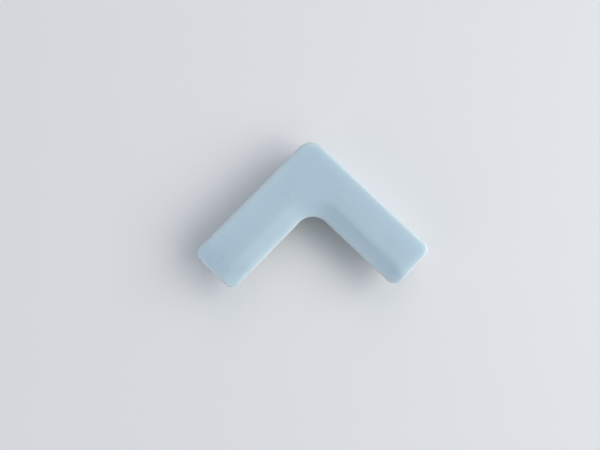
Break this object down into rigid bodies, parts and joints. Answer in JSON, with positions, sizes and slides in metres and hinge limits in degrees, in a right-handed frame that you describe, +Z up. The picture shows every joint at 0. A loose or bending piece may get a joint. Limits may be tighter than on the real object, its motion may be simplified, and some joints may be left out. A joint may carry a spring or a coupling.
{
  "type": "table corner guard",
  "caption": "Soft silicone guard that rounds off a table corner: chevron flange on top, skirt down the edges, foam tapes with peel-off liners inside.",
  "frame": {"origin": "seat corner: the point where the table's own corner goes, in the plane of the table top and of both table edges", "axes": "+Z up, away from the table top; the table fills -X, -Y, -Z; the left arm runs along -X and the right arm along -Y, so the guard's outer corner points to +X+Y"},
  "size_m": [0.06, 0.06, 0.015],
  "materials": {
    "silicone": "satin, translucent pale blue moulded silicone",
    "foam": "white closed-cell foam",
    "adhesive": "clear tacky acrylic coat",
    "liner": "smooth siliconised paper"
  },
  "bodies": {
    "guard": {"guard_body": "silicone", "top_left_guard_side_adhesive": "adhesive", "top_left_foam_tape": "foam", "top_left_table_side_adhesive": "adhesive", "top_right_guard_side_adhesive": "adhesive", "top_right_foam_tape": "foam", "top_right_table_side_adhesive": "adhesive", "side_left_guard_side_adhesive": "adhesive", "side_left_foam_tape": "foam", "side_left_table_side_adhesive": "adhesive", "side_right_guard_side_adhesive": "adhesive", "side_right_foam_tape": "foam", "side_right_table_side_adhesive": "adhesive"},
    "top_left_liner": {"top_left_release_liner": "liner"},
    "top_right_liner": {"top_right_release_liner": "liner"},
    "side_left_liner": {"side_left_release_liner": "liner"},
    "side_right_liner": {"side_right_release_liner": "liner"}
  },
  "joints": [
    {"name": "top_left_liner_pull", "type": "slide", "parent": "guard", "child": "top_left_liner", "axis": [-1, 0, 0], "range_m": [0, 0.052]},
    {"name": "top_right_liner_pull", "type": "slide", "parent": "guard", "child": "top_right_liner", "axis": [0, -1, 0], "range_m": [0, 0.052]},
    {"name": "side_left_liner_pull", "type": "slide", "parent": "guard", "child": "side_left_liner", "axis": [-1, 0, 0], "range_m": [0, 0.052]},
    {"name": "side_right_liner_pull", "type": "slide", "parent": "guard", "child": "side_right_liner", "axis": [0, -1, 0], "range_m": [0, 0.052]}
  ]
}
